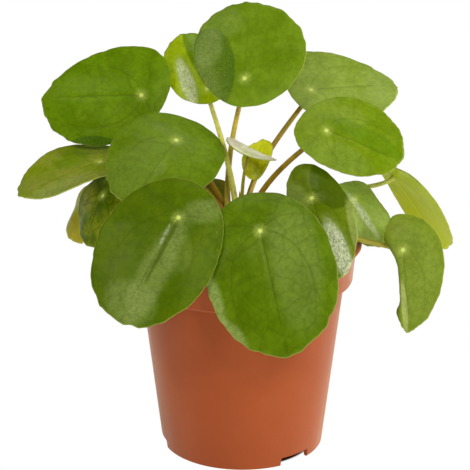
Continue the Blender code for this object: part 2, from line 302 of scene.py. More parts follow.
@dataclass
class Leaf:
    """One leaf, placed by the point where its stalk meets the blade.

    dot            that point, on the upper face
    heading        compass angle of the tip, 0 = +X, 90 = +Y
    pitch, roll    how far the tip hangs down, how far the left side is raised
    length, width  of the blade; base is the share of the length behind the dot
    root, rise     where the stalk leaves the trunk, and its first handle
    drop           length of the handle under the blade
    bends          how far tip, base, left and right side turn down towards their edge
    upper, second  the two greens that mottle the upper face; under is the lower face's
    egg            above 0 the blade is widest near the tip, below 0 near the base
    asym, shear    share by which the left half is wider, slant of the cross axis
    point          how far the tip is drawn out, as a share of the length
    waves          (height, count, phase) of the ripples round the edge
    folds          (side, start at the base and at the tip, width, angle, from, to)
    stalk, stem    radii and colours of the stalk at its root and at the blade
    slot           name of a slot for the blade's finish, read here only to hang the blade on the body
    rough, gloss   roughness of the blade, specular level of its upper face
    pucker, veins  height of the pillows, strength of the veins and their grooves
    marks          soft patches, some of painted haze, highlight or shade: (tint, share, (along, across), (long, wide), turn, blur)
    """

    name: str
    dot: tuple
    heading: float
    pitch: float
    roll: float
    length: float
    width: float
    root: tuple
    rise: tuple
    drop: float
    bends: tuple
    upper: tuple
    second: tuple
    base: float = 0.26
    egg: float = 0.0
    asym: float = 0.0
    shear: float = 0.0
    point: float = 0.012
    waves: tuple = ()
    folds: tuple = ()
    stalk: tuple = (1.5, 1.1)
    slot: str = "leaf_green"
    under: tuple = (140, 156, 70)
    stem: tuple = ((146, 112, 6), (160, 136, 20))
    rough: float = 0.34
    gloss: float = 0.16
    pucker: float = 0.8
    veins: float = 0.7
    marks: tuple = ()

    def turns(self):
        """The blade's turns about X, Y and Z."""
        return [math.radians(turn) for turn in (self.roll, self.pitch, self.heading)]

    def outline(self, angle):
        """Edge of the flat blade at an angle round the dot's oval, 0 at the tip."""
        half = 0.5 * self.width * (1 + self.asym * math.copysign(1, math.sin(angle)))
        across = half * math.sin(angle) * (1 + self.egg * math.cos(angle))
        along = self.length * (0.5 - self.base + 0.5 * math.cos(angle))
        off_tip = abs(math.remainder(angle, 2 * math.pi))
        along += self.point * self.length * math.exp(-(off_tip / TIP_SPREAD) ** 1.5)
        return along + self.shear * across, across

    def section_angle(self, along, across, distance):
        """Angle below flat of the cross-section, at a distance out from the midrib."""
        bend = self.bends[2] if across > 0 else self.bends[3]
        angle = math.radians(bend) * distance / (0.5 * self.width)
        for side, starts, width, degrees, first, last in self.folds:
            if (across > 0) == (side == "left"):
                share = smooth((along - first) / (last - first))
                start = starts[0] + (starts[1] - starts[0]) * share
                angle += math.radians(degrees) * share * smooth((distance - start) / width)
        return angle

    def flat(self, radius, angle):
        """Flat (along, across) place of a point, with the slightly scalloped edge."""
        along, across = self.outline(angle)
        round_edge = Vector((math.cos(angle), math.sin(angle), 0.37 * self.heading))
        ripple = 0.9 * noise.noise(round_edge * 5.0) + 0.5 * noise.noise(round_edge * 11.0)
        reach = radius * (1 + 0.026 * ripple * radius ** 6)
        return along * reach, across * reach

    def arc_vein(self, along):
        """Distance from the midrib of the two big side veins that arc to the tip."""
        share = min(max(along / (self.length * (1 - self.base)), 0.0), 1.0)
        return 0.6 * self.width * math.sqrt(share) * (1 - 0.75 * share ** 1.5)

    def relief(self, radius, along, across):
        """Height of the veins' grooves and of the soft pillows between them."""
        seat = math.hypot(along, across)
        past_dot = smooth(seat / 8)
        groove = 0.0
        if along > 0:
            fade = past_dot * smooth((1 - radius) * 3)
            for off_vein, (depth, wide) in ((across, MIDRIB_GROOVE),
                                            (abs(across) - self.arc_vein(along), ARC_GROOVE)):
                groove += depth * fade * math.exp(-(off_vein / wide) ** 2)
        where = Vector((along, across, 3.1 * self.pitch + self.heading))
        pillow = 0.34 * noise.noise(where * 0.1) + 0.13 * noise.noise(where * 0.27)
        dimple = DOT_DIMPLE[0] * math.exp(-(seat / DOT_DIMPLE[1]) ** 2)
        return self.pucker * pillow * past_dot - self.veins * groove - dimple

    def surface(self, radius, angle):
        """Point of the bent upper face, in the leaf's own frame: tip +X, left +Y."""
        along, across = self.flat(radius, angle)
        reach = self.length * ((1 - self.base) if along > 0 else self.base)
        curve = math.radians(self.bends[0] if along > 0 else self.bends[1]) / reach
        slope = curve * along
        centre_x = math.sin(curve * along) / curve
        centre_z = -(1 - math.cos(curve * along)) / curve
        side = drop = 0.0
        for step in range(SECTION_STEPS):
            out = abs(across) * (step + 0.5) / SECTION_STEPS
            turned_by = self.section_angle(along, across, out)
            side += across / SECTION_STEPS * math.cos(turned_by)
            drop += abs(across) / SECTION_STEPS * math.sin(turned_by)
        edge_turn = self.section_angle(along, across, abs(across))
        relief = self.relief(radius, along, across)
        lift = -drop + sum(height * radius ** 2 * math.cos(count * angle + math.radians(phase))
                           for height, count, phase in self.waves)
        lift += relief * math.cos(edge_turn)
        side += relief * math.sin(edge_turn) * math.copysign(1, across)
        return Vector((centre_x + lift * math.sin(abs(slope)) * math.copysign(1, along),
                       side, centre_z + lift * math.cos(slope)))


# Marks in the haze, highlight and shade tints of TINTS are painted light and shade on the blades.
LEAVES = (
    Leaf("left_upper", (-51.3, 30, 175.2), 178, 1, -66, 64.5, 52, (-4.5, 4, 112), (-8, 16, 24), 20,
         base=0.21, egg=-0.16, asym=-0.02, shear=0.32, point=0.02, bends=(15, 10, 12, 14),
         waves=((0.7, 3, 40),),
         upper=(86, 116, 0), second=(99, 130, 4), gloss=0.1,
         marks=(("painted_shade", 0.6, (24, 25.5), (14, 5), -6, 0.2),)),
    Leaf("left_far", (-72, 16, 144), -170, 17, -15, 59, 41, (-5, 1, 109), (-25, 4, 22), 14,
         egg=-0.05, asym=-0.1, shear=-0.35, bends=(12, 10, -12, -12), waves=((0.8, 4, 0),),
         slot="leaf_olive",
         upper=(122, 140, 10), second=(140, 146, 46),
         marks=(("painted_haze", 0.32, (27, 9), (20, 6), 0, 0.6),
                ("fresh", 0.4, (10, -12), (12, 8), 0, 0.6))),
    Leaf("left_inner", (-32.5, -3, 160), -122, 27, -25, 64, 54, (-5, -1.5, 117), (-10, 2, 14), 16,
         base=0.3, egg=-0.18, asym=-0.03, shear=-0.1, bends=(20, 18, 14, 18), waves=((0.7, 3, 10),),
         upper=(87, 113, 2), second=(96, 124, 9), veins=0.5,
         marks=(("painted_haze", 0.12, (28, -10), (16, 12), 0, 0.6),
                ("painted_haze", 0.16, (19, 2), (5, 3), 0, 0.6))),
    Leaf("front_left", (-30, -53, 135.3), -135, 46, -35, 76, 57, (-3.5, -4, 112), (-5, -12, 16), 14,
         asym=-0.05, point=0.0, bends=(14, 16, 12, 12), waves=((0.6, 5, 60),),
         upper=(68, 91, 0), second=(78, 100, 0), gloss=0.1, veins=0.5,
         marks=(("painted_haze", 0.3, (28, 3), (27, 7), 0, 0.6), ("painted_haze", 0.1, (15, 9), (9, 6), 20, 0.5),
                ("painted_haze", 0.26, (46, 0), (10, 12), 0, 0.6),
                ("painted_haze", 0.3, (-9, 9), (6, 9), 35, 0.8),
                # painted shade along the midrib's groove, and a painted highlight beside it
                ("deep", 0.75, (17, 1.3), (16, 1.0), 2, 0.7),
                ("painted_highlight", 0.3, (11, -1.4), (6, 0.7), 4, 0.8))),
    Leaf("front", (8, -55, 129.4), -66, 58, 20, 80, 62, (1, -5, 111), (2, -14, 16), 10,
         egg=0.03, asym=0.04, point=0.02, bends=(18, 28, 14, 14), waves=((0.6, 5, 20),),
         upper=(75, 100, 0), second=(86, 112, 4), gloss=0.12, veins=0.8,
         marks=(("painted_haze", 0.6, (27, -31), (18, 6.5), 6, 0.6),
                ("painted_haze", 0.5, (45, -25), (12, 5.5), 35, 0.6),
                ("painted_haze", 0.14, (18, 13), (32, 12), -4, 0.5))),
    Leaf("top", (1, 10, 188), 84, -58, 0, 56.5, 56, (-7, 4, 118), (-3, 12, 34), 14,
         egg=0.1, asym=-0.06, point=0.0, bends=(10, 10, 8, 8), waves=((0.6, 4, 45),),
         # the stalk is painted lighter at its foot, standing in for light the leaves above keep off
         # it
         upper=(89, 117, 4), second=(103, 130, 16), stem=((206, 186, 66), (184, 162, 60)),
         veins=0.3,
         marks=(("painted_shade", 0.56, (3, 19), (24, 14), 0, 0.1),
                ("painted_haze", 0.3, (16, 19), (10, 7), 0, 0.6),
                ("painted_haze", 0.16, (31, 14), (9, 11), 0, 0.6),
                ("painted_haze", 0.14, (-2, 21), (16, 8), 20, 0.6))),
    Leaf("back_top", (-18, 34, 177.7), 124, -46, -24, 45.5, 37.5, (-3, 0.5, 122), (-3, -5, 32), 11,
         base=0.18, asym=-0.1, bends=(20, 15, 25, 15), waves=((0.9, 4, 30),), slot="leaf_light",
         # the stalk is painted lighter at its foot, standing in for light the leaves above keep off
         # it
         upper=(142, 167, 0), second=(155, 175, 12), stem=((226, 222, 96), (218, 214, 112)),
         rough=0.24, pucker=1.4, veins=0.3,
         # the first mark paints the shadow the top leaf casts on this blade; the rest paint haze
         # and a highlight
         marks=(("fresh", 0.8, (18, -9.5), (30, 11), 0, 0.12),
                ("painted_haze", 0.35, (9, 7.5), (16, 5), -5, 0.5),
                ("painted_highlight", 0.7, (8, 8), (14, 3.6), -5, 0.4))),
    Leaf("right_upper", (35, 30, 178), 8, -4, 32, 56, 53, (1.6, 4.2, 118), (1, 10, 27), 9,
         base=0.2, egg=-0.3, asym=0.12, shear=-0.2, point=0.0, bends=(8, 10, 10, 10),
         waves=((0.8, 3, 80),),
         upper=(122, 145, 40), second=(136, 158, 56), veins=0.6,
         marks=(("painted_haze", 0.25, (39, -3), (11, 18), 0, 0.6),)),
    Leaf("right_middle", (41, -5, 165.3), -12, 17, 40, 55, 46, (3.8, -1, 117.5), (3, 0, 24), 4,
         base=0.28, egg=-0.04, asym=0.18, shear=0.12, point=0.0, bends=(15, 12, 12, 14),
         waves=((0.6, 3, 0),),
         upper=(100, 126, 2), second=(112, 137, 14), veins=0.6,
         marks=(("fresh", 0.5, (20, 5), (20, 5.5), -7, 0.2),
                ("painted_haze", 0.12, (8, 13), (9, 6), 0, 0.6),
                ("painted_haze", 0.16, (8, -12), (17, 8), 0, 0.6))),
    Leaf("right_front", (33, -30, 138.2), -70, 38, 16, 64, 31, (4, -3.5, 115.5), (8, -6, 14), 12,
         base=0.34, egg=-0.05, asym=0.2, bends=(38, 15, 25, 20), waves=((0.9, 4, 70),),
         upper=(82, 102, 2), second=(94, 113, 12), rough=0.26, gloss=0.1, pucker=1.2, veins=0.5,
         # painted shadow cast by right_middle on the top right, then painted haze and highlight
         # lower down
         marks=(("deep", 0.8, (-6, 11), (15, 9.5), 0, 0.12),
                ("painted_haze", 0.3, (28, 5), (17, 6), 6, 0.5),
                ("painted_highlight", 0.65, (29, 5), (15, 4.5), 6, 0.5),
                ("painted_haze", 0.2, (-2, -7), (12, 5), 0, 0.5),
                # painted light on the lit edge along the crease
                ("pale", 0.3, (20, 16), (16, 3), -4, 0.5))),
    Leaf("right_small", (57, 6, 127), -42, 46, 10, 39, 31, (5, -1, 112.5), (16, -2, 16), 10,
         base=0.3, egg=-0.05, asym=0.08, bends=(10, 15, 20, 15), waves=((1.1, 5, 30),),
         stalk=(1.3, 0.9),
         upper=(136, 162, 52), second=(152, 176, 72), gloss=0.35, pucker=1.4, veins=0.5,
         marks=(("painted_haze", 0.3, (15, 0), (13, 9), 0, 0.5),
                ("painted_highlight", 0.7, (9, -1), (13, 2.2), 4, 0.5),
                ("painted_haze", 0.3, (8, 11), (12, 4), 0, 0.5))),
    Leaf("right_back", (78, 24, 134), 12, 51, -18, 58, 44, (5, 2.5, 110), (22, 15, 24), 14,
         base=0.18, asym=-0.35, bends=(14, 12, 8, 8), waves=((0.7, 3, 20),), slot="leaf_light",
         upper=(120, 140, 10), second=(130, 150, 20), under=(182, 202, 0),
         stem=((184, 172, 56), (212, 214, 104))),
    Leaf("right_low", (79, -18, 108), -76, 70, 8, 58, 31, (5, -2.5, 107.5), (25, -14, 17), 14,
         base=0.31, egg=-0.2, asym=0.34, point=0.025, bends=(12, 10, 12, 10),
         folds=(("right", (9.5, 1.5), 4, 150, -18, 10), ("right", (1, 1), 3, -95, 23, 32)),
         upper=(98, 118, 13), second=(107, 126, 25), under=(150, 166, 74),
         stem=((176, 158, 40), (168, 164, 50)), veins=0.5,
         marks=(("painted_haze", 0.14, (12, 4), (26, 14), 0, 0.5),
                ("pale", 0.5, (28, -1.4), (13, 1.6), 2, 0.4))),
    Leaf("left_low", (-70, 2, 130), -160, 62, -14, 38, 42, (-5, -2.5, 106), (-20, 0, 16), 10,
         base=0.3, bends=(20, 10, 15, 15), waves=((0.7, 4, 10),),
         upper=(68, 92, 0), second=(116, 126, 16), rough=0.42, gloss=0.03, pucker=1.5, veins=1.0,
         marks=(("straw", 0.35, (6, -13), (8, 7), 0, 0.9),
                ("painted_haze", 0.25, (20, -14), (14, 3), 0, 0.6))),
    Leaf("left_old", (-77, 28, 126), -170, 54, -10, 34, 36, (-4.5, 3, 105), (-26, 3, 14), 10,
         base=0.14, egg=0.4, bends=(20, 10, 15, 15), waves=((0.8, 4, 80),), slot="leaf_yellow",
         upper=(158, 164, 4), second=(172, 164, 30), rough=0.42, gloss=0.03, veins=0.5,
         marks=(("rust", 0.3, (28, 0), (10, 20), 0, 0.6),)),
    Leaf("back_low", (-22, 32, 124), 160, 4, -8, 46, 44, (-1, 5.5, 112), (-2, 8, 6), 8,
         base=0.34, bends=(10, 20, 10, 10), waves=((0.7, 3, 50),),
         upper=(96, 100, 0), second=(110, 104, 2), rough=0.5, gloss=0.03),
    Leaf("young_flat", (3.2, -2, 152.8), -34, 15, -6, 28.5, 13, (-0.3, -1.2, 121), (0, 0, 14), 10,
         base=0.5, point=0.06, bends=(-22, -24, -16, -16), stalk=(1.0, 0.7), slot="leaf_pale",
         upper=(240, 238, 202), second=(218, 219, 154), under=(170, 180, 110),
         stem=((150, 140, 20), (160, 150, 30)), pucker=0.3, veins=0.5,
         marks=(("fresh", 0.3, (1, 0.5), (7, 2.5), 10, 0.6), ("rosy", 0.6, (13, 0), (6, 6), 0, 0.5),
                ("rosy", 0.6, (-11, 0), (5, 6), 0, 0.5))),
    Leaf("young_cupped", (6.6, 8, 139), 66, -70, 0, 21, 15, (1.5, 1.2, 121), (0.5, 1, 8), 4,
         base=0.12, egg=0.2, asym=0.1, shear=-0.25, point=0.03, bends=(20, 5, -15, -15),
         stalk=(1.1, 0.8), slot="leaf_lime",
         upper=(216, 220, 14), second=(226, 228, 44), under=(172, 176, 10),
         stem=((196, 168, 56), (200, 180, 60)), pucker=0.4),
)

MARGIN = (168, 172, 76)       # thin pale rim of every blade
DOT = (200, 212, 104)         # pale spot over the stalk
PALE = (206, 214, 118)        # what the veins under a blade tend to
UNDER_GLOSS = 0.03            # specular level of every lower face
TINTS = {
    "painted_haze": (150, 164, 92),   # painted haze: greyish sheen of reflected light
    "painted_highlight": (226, 228, 204),  # painted highlight: streaks of reflected light on a puckered blade
    "painted_shade": (26, 62, 14),      # painted shade: darker, bluer green where a blade turns from the light
    "deep": (60, 80, 0),       # painted shadow: darker green in a groove or where a leaf above shades the blade
    "fresh": (80, 118, 0),     # more saturated green; on back_top, a painted shadow band cast by the top leaf
    "pale": (176, 184, 108),   # light edge of a fold: pale underside of a rolled margin, and on right_front a painted lit edge of a crease
    "straw": (176, 168, 70),   # yellowing
    "rust": (166, 128, 40),    # browning
    "rosy": (196, 182, 172),   # flush on the youngest leaf
}


def patch(finish, mark, along, across, mottle):
    """Mask of one soft oval patch on a blade, its edge ragged by the mottle."""
    _, share, (centre_along, centre_across), (long, wide), turn, blur = mark
    turn = math.radians(turn)
    ahead, beside = along - centre_along, across - centre_across
    lengthwise = (ahead * math.cos(turn) + beside * math.sin(turn)) / long
    sideways = (beside * math.cos(turn) - ahead * math.sin(turn)) / wide
    off = lengthwise * lengthwise + sideways * sideways + (mottle - 0.5) * (1.6 * blur)
    return finish.step(off, 1 - blur, 1 + blur, share, 0.0)


def with_patches(finish, leaf, colour, place, along, across, mottle, grain):
    """Colour of an upper face with the leaf's patches laid over it: real tints, and painted haze,
    highlight and shade.
    """
    streaks = finish.noise(finish.stretched(place, (80, 150, 1)), 1.0, 3.0, 0.7)
    wrinkles = finish.noise(finish.stretched(place, (140, 70, 1)), 1.0, 3.0, 0.65)
    # how the painted highlight, painted shade and painted haze patches break up
    broken_by = {"painted_highlight": (streaks, 0.38, 0.62, 0.15, 1.0),
                 "painted_shade": (grain, 0.35, 0.7, 1.2, 0.4),
                 "painted_haze": (wrinkles, 0.34, 0.66, 0.7, 1.2)}
    for mark in leaf.marks:
        tint = mark[0]
        mask = patch(finish, mark, along, across, mottle)
        if tint in broken_by:
            mask = mask * finish.step(*broken_by[tint])
        colour = finish.mix(mask, colour, linear(*TINTS[tint]))
    return colour


def vein_masks(finish, leaf, place, along, across, reach):
    """Masks of a blade's veins, and of the fine net between them."""
    warp = (finish.noise(place, 14.0) - 0.5) * 4.0
    fade = finish.step(reach, 0.5, 0.95, 1.0, 0.25)
    ahead = finish.step(along, 0.0, 1.5) * fade
    beside = abs(across)
    midrib = finish.line(across + warp * 0.12, 0.08, 0.6) * ahead
    share = finish.node("Clamp", None, {0: along / (leaf.length * (1 - leaf.base))})
    arc_place = 0.6 * leaf.width * share ** 0.5 * (1 - 0.75 * share ** 1.5)
    arcs = finish.line(beside - arc_place + warp * 0.5, 0.05, 0.7) * ahead
    sides = along + 0.8 * beside - (1.8 / leaf.width) * beside * beside
    sides = finish.line(sides + warp * 0.3, 0.1, 0.6) * finish.step(beside, 1.0, 3.0) * fade
    veins = finish.node("Clamp", None, {0: midrib + arcs * 0.8 + sides * 0.6})

    shift = finish.node("TexNoise", None, {"Vector": place, "Scale": 16.0}, 1)
    shifted = finish.node("VectorMath", {"operation": "MULTIPLY_ADD"},
                          {0: shift, 1: (0.05, 0.05, 0.0), 2: place})
    net = finish.step(finish.cracks(shifted, 13.0, 0.9), 0.0, 0.075, 1.0, 0.0)
    return veins, net


def with_dot(finish, colour, along, across):
    """Colour with the pale spot over the stalk and the short rays round it."""
    seat = (along * along + across * across) ** 0.5
    compass = finish.node("CombineXYZ", None, {0: along / (seat + 0.3), 1: across / (seat + 0.3)})
    rays = finish.step(finish.noise(compass, 3.4, 1.0), 0.35, 0.75, 0.3, 1.0)
    rays = rays * finish.step(seat, 0.8, 4.8, 0.42, 0.0)
    colour = finish.mix(rays, colour, linear(*DOT))
    return finish.mix(finish.step(seat, 0.4, 1.6, 0.9, 0.0), colour, linear(*DOT))


def blade_finish(leaf, under):
    """Upper or under face of a blade: mottle, patches of tint and of painted light and shade,
    veins, net, pale dot and rim.
    """
    finish = Finish("leaf " + leaf.name + (" under" if under else ""), leaf.rough,
                    UNDER_GLOSS if under else leaf.gloss)
    finish.put(Specular_Tint=(1.0, 1.0, 0.4, 1.0))
    place = finish.node("UVMap", {"uv_map": "blade"})
    along, across = ((finish.node("SeparateXYZ", None, {0: place}, axis) - 0.5) * UV_SPAN
                     for axis in (0, 1))
    reach = finish.node("Attribute", {"attribute_name": "reach"}, output=2)
    mottle = finish.noise(place, 9.0, 3.0, 0.6)
    pebble = finish.noise(place, 46.0, 2.0, 0.6)
    grain = finish.noise(place, 150.0, 2.0)
    veins, net = vein_masks(finish, leaf, place, along, across, reach)

    main = leaf.under if under else leaf.upper
    second = mixed(leaf.under, PALE, 0.1) if under else leaf.second
    colour = finish.mix(finish.step(mottle, 0.35, 0.65), linear(*main), linear(*second))
    if under:
        vein_colour = linear(*mixed(leaf.under, PALE, 0.3))
        colour = finish.mix(net * 0.3, colour, vein_colour)
        colour = finish.mix(veins * 0.8, colour, vein_colour)
    else:
        vein_colour = linear(*(0.68 * value for value in leaf.upper))
        colour = with_patches(finish, leaf, colour, place, along, across, mottle, grain)
        # pale specks, where the mottle is lighter
        pale_specks = finish.node("TexVoronoi", None, {"Vector": place, "Scale": 24.0})
        pale_specks = finish.step(pale_specks, 0.04, 0.08, 0.4, 0.0) * finish.step(mottle, 0.45, 0.6)
        colour = finish.mix(pale_specks, colour, linear(*PALE))
        colour = finish.mix(finish.step(pebble, 0.4, 0.7, 0.0, 0.24), colour, vein_colour)
        colour = finish.mix(net * (0.32 * leaf.veins), colour, vein_colour)
        colour = finish.mix(veins * (0.6 * leaf.veins), colour, vein_colour)
        colour = with_dot(finish, colour, along, across)
    edge = (1 - reach) * (0.45 * leaf.width)
    colour = finish.mix(finish.step(edge, 0.0, 0.35, 0.5, 0.0), colour, linear(*MARGIN))

    sign = 0.5 if under else -0.2 * leaf.veins
    height = veins * sign + net * (0.16 * sign) + pebble * (0.25 * leaf.pucker) + grain * 0.08
    finish.put(Base_Color=colour, Normal=finish.bump(height, 0.00035, 0.75),
               Roughness=finish.step(mottle, 0.2, 0.8, leaf.rough - 0.05, leaf.rough + 0.08))
    return finish


def rim_finish():
    """Cut edge between the two faces of a blade."""
    finish = Finish("leaf rim", 0.45, 0.3)
    shade = finish.noise(finish.place(), 160.0)
    finish.put(Base_Color=finish.mix(shade, linear(*MARGIN), linear(142, 152, 60)))
    return finish


def make_blade(leaf, rim):
    """Blade: a disc spun from one radius, bent to the leaf's form and given its thickness."""
    bm = bmesh.new()
    rings = [ring / BLADE_RINGS for ring in range(BLADE_RINGS + 1)]
    verts = [bm.verts.new((ring, 0, 0)) for ring in rings]
    edges = [bm.edges.new(pair) for pair in zip(verts, verts[1:])]
    bmesh.ops.spin(bm, geom=verts + edges, cent=(0, 0, 0), axis=(0, 0, 1),
                   angle=2 * math.pi, steps=BLADE_SECTORS, use_merge=True)
    bmesh.ops.remove_doubles(bm, verts=bm.verts, dist=0.0001)
    bm.normal_update()
    bmesh.ops.reverse_faces(bm, faces=[face for face in bm.faces if face.normal.z < 0])
    uv = bm.loops.layers.uv.new("blade")
    reach = bm.verts.layers.float.new("reach")
    places = {}
    turn = Euler(leaf.turns()).to_matrix()
    for vert in bm.verts:
        radius = vert.co.xy.length
        angle = math.atan2(vert.co.y, vert.co.x)
        places[vert] = leaf.flat(radius, angle)
        vert[reach] = radius
        vert.co = turn @ leaf.surface(radius, angle) + Vector(leaf.dot)
    for face in bm.faces:
        for loop in face.loops:
            along, across = places[loop.vert]
            loop[uv].uv = (along / UV_SPAN + 0.5, across / UV_SPAN + 0.5)
    blade = finished("leaf_" + leaf.name, bm, (blade_finish(leaf, False),
                                               blade_finish(leaf, True), rim),
                     slot=leaf.slot, replaces=("blade_" + leaf.name,))
    body = blade.modifiers.new("thickness", "SOLIDIFY")
    body.thickness = BLADE_THICKNESS * MM
    body.offset = -1
    body.material_offset = 1
    body.material_offset_rim = 2
    return blade


def stalk_finish(leaf):
    """Stalk that changes colour from its root to the blade, with brown flecks."""
    finish = Finish("stalk " + leaf.name, 0.42, 0.25)
    share = finish.node("Attribute", {"attribute_name": "share"}, output=2)
    place = finish.place()
    foot, head = (linear(*colour) for colour in leaf.stem)
    colour = finish.mix(finish.step(share, 0.0, 0.9), foot, head)
    fleck = finish.noise(place, 420.0, 2.0)
    colour = finish.mix(finish.step(fleck, 0.5, 0.8, 0.0, 0.35), colour, linear(110, 78, 30))
    finish.put(Base_Color=colour, Normal=finish.bump(finish.noise(place, 900.0), 0.0001, 0.5))
    return finish


def tube(path, radii, sides, flatness):
    """Tube extruded ring by ring along a path; each ring's share of the way is kept."""
    bm = bmesh.new()
    share = bm.verts.layers.float.new("share")
    ring = bmesh.ops.create_circle(bm, segments=sides, radius=1)["verts"]
    flat = [vert.co.copy() for vert in ring]
    bmesh.ops.contextual_create(bm, geom=[edge for edge in bm.edges])
    direction = (path[1] - path[0]).normalized()
    frame_turn = Vector((0, 0, 1)).rotation_difference(direction).to_matrix()
    steps = len(path) - 1
    for step, (point, radius) in enumerate(zip(path, radii)):
        if step:
            edges = [edge for edge in bm.edges if edge.verts[0] in ring and edge.verts[1] in ring]
            new = bmesh.ops.extrude_edge_only(bm, edges=edges)["geom"]
            grown = [item for item in new if isinstance(item, bmesh.types.BMVert)]
            order = {}
            for vert in ring:
                for edge in vert.link_edges:
                    other = edge.other_vert(vert)
                    if other in grown:
                        order[vert] = other
            ring = [order[vert] for vert in ring]
            onward = (path[min(step + 1, steps)] - path[step - 1]).normalized()
            frame_turn = direction.rotation_difference(onward).to_matrix() @ frame_turn
            direction = onward
        for vert, place in zip(ring, flat):
            vert.co = point + frame_turn @ Vector((place.x, place.y * flatness, 0)) * radius
            vert[share] = step / steps
    bmesh.ops.contextual_create(bm, geom=[edge for edge in bm.edges if edge.is_boundary])
    bmesh.ops.recalc_face_normals(bm, faces=bm.faces)
    return bm


def make_stalk(leaf):
    """Curved stalk from the trunk to the dot, swollen a little at both ends."""
    upwards = Euler(leaf.turns()).to_matrix() @ Vector((0, 0, 1))
    top = Vector(leaf.dot) - (BLADE_THICKNESS * 0.8) * upwards
    root = Vector(leaf.root)
    path = geometry.interpolate_bezier(root, root + Vector(leaf.rise), top - leaf.drop * upwards,
                                       top, STALK_STEPS + 1)
    first, last = leaf.stalk
    radii = []
    for step in range(STALK_STEPS + 1):
        share = step / STALK_STEPS
        radius = first + (last - first) * share
        radius *= 1 + 0.25 * math.exp(-share / 0.06) + 0.45 * math.exp((share - 1) / 0.03)
        radii.append(radius)
    bm = tube(path, radii, STALK_SIDES, STALK_FLATNESS)
    return finished("petiole_" + leaf.name, bm, (stalk_finish(leaf),), STALK_CREASE, "stalk",
                    ("stalk_" + leaf.name,))


# ---------------------------------------------------------------- trunk and soil

def trunk_finish():
    """Blotched bark with flat cracks round it."""
    finish = Finish("trunk bark", 0.75, 0.3)
    place = finish.place()
    cloud = finish.noise(place, 260.0, 3.0, 0.6)
    colour = finish.mix(finish.step(cloud, 0.35, 0.65), linear(92, 68, 38), linear(138, 112, 62))
    rings = finish.cracks(finish.stretched(place, (1, 1, 3)), 230.0)
    colour = finish.mix(finish.step(rings, 0.0, 0.12, 0.6, 0.0), colour, linear(58, 40, 22))
    finish.put(Base_Color=colour,
               Normal=finish.bump(cloud + finish.step(rings, 0.0, 0.15), 0.0005, 0.7))
    return finish


def make_trunk(finish):
    """Short trunk with the raised scars of shed leaves and a domed crown."""
    profile = [(0, TRUNK_FOOT_Z), (TRUNK_RADIUS, TRUNK_FOOT_Z)]
    z = SOIL_TOP + 4
    while z < TRUNK_TOP_Z - 4:
        share = (z - SOIL_TOP) / (TRUNK_TOP_Z - SOIL_TOP)
        radius = TRUNK_RADIUS + (TRUNK_TOP_RADIUS - TRUNK_RADIUS) * share
        profile += [(radius - 0.5, z - 1.0), (radius - 0.15, z - 0.5), (radius, z),
                    (radius - 0.1, z + 0.4)]
        z += SCAR_SPACING
    dome = TRUNK_TOP_RADIUS - 0.4
    profile += list(arc((0, TRUNK_TOP_Z - TRUNK_TOP_RADIUS), dome, 10, 90, 6))
    profile[-1] = (0, profile[-1][1])
    bm = turned(spaced(profile, 1.2), TRUNK_STEPS)
    for vert in bm.verts:
        out = Vector((vert.co.x, vert.co.y, 0)).normalized()
        vert.co += out * 0.35 * noise.noise(vert.co * 0.5)
        vert.co.z += 0.5 * noise.noise(vert.co * 0.25) * (vert.co.z > SOIL_TOP)
    return finished("stem", bm, (finish,), slot="trunk", replaces=("trunk",))


def bract_finish():
    """Uneven pale straw."""
    finish = Finish("dry bract", 0.6, 0.3)
    shade = finish.noise(finish.place(), 300.0, 2.0)
    finish.put(Base_Color=finish.mix(shade, linear(176, 148, 70), linear(214, 196, 124)))
    return finish


def make_bracts(finish):
    """Small dry bracts, flat and pointed, round the youngest stalks."""
    draw = Random(11)
    whole = bmesh.new()
    for number in range(BRACTS):
        angle = math.radians(360 / BRACTS * number + draw.uniform(-12, 12))
        out = Vector((math.cos(angle), math.sin(angle), 0))
        foot = out * (TRUNK_TOP_RADIUS - 0.6) + Vector((0, 0, TRUNK_TOP_Z - draw.uniform(1, 5)))
        rise = Vector((0, 0, draw.uniform(8, 14)))
        spread = out * draw.uniform(0.8, 2.2)
        path = geometry.interpolate_bezier(foot, foot + rise * 0.5 + out * 0.6,
                                           foot + rise * 0.8 + spread, foot + rise + spread,
                                           BRACT_STEPS + 1)
        radii = [BRACT_RADIUS * (1 - step / BRACT_STEPS) ** 0.7 + 0.08
                 for step in range(BRACT_STEPS + 1)]
        bm = tube(path, radii, BRACT_SIDES, BRACT_FLATNESS)
        mesh = bpy.data.meshes.new("bract")
        bm.to_mesh(mesh)
        bm.free()
        whole.from_mesh(mesh)
        bpy.data.meshes.remove(mesh)
    return finished("bracts", whole, (finish,), slot="stalk")


def body_radius(z):
    """Outside of the tapered body at a height."""
    return FOOT_RADIUS + (BODY_TOP_RADIUS - FOOT_RADIUS) * z / BAND_FOOT_Z


def soil_height(x, y):
    """Top of the potting mix at a place."""
    broad = SOIL_LUMPS * noise.noise(Vector((x, y, SOIL_TOP)) * 0.14)
    fine = 0.7 * noise.noise(Vector((x, y, 5)) * 0.6) + 0.35 * noise.noise(Vector((x, y, 9)) * 1.4)
    return SOIL_TOP + broad + fine


def soil_finish():
    """Dark crumbly mix with browner patches."""
    finish = Finish("potting mix", 0.95, 0.15)
    place = finish.place()
    crumbs = finish.noise(place, 700.0, 4.0, 0.7)
    cloud = finish.noise(place, 90.0, 2.0)
    colour = finish.mix(finish.step(crumbs, 0.35, 0.7), linear(30, 20, 14), linear(78, 54, 36))
    colour = finish.mix(finish.step(cloud, 0.45, 0.75, 0.0, 0.5), colour, linear(48, 30, 18))
    finish.put(Base_Color=colour, Normal=finish.bump(crumbs, 0.0012, 0.9))
    return finish


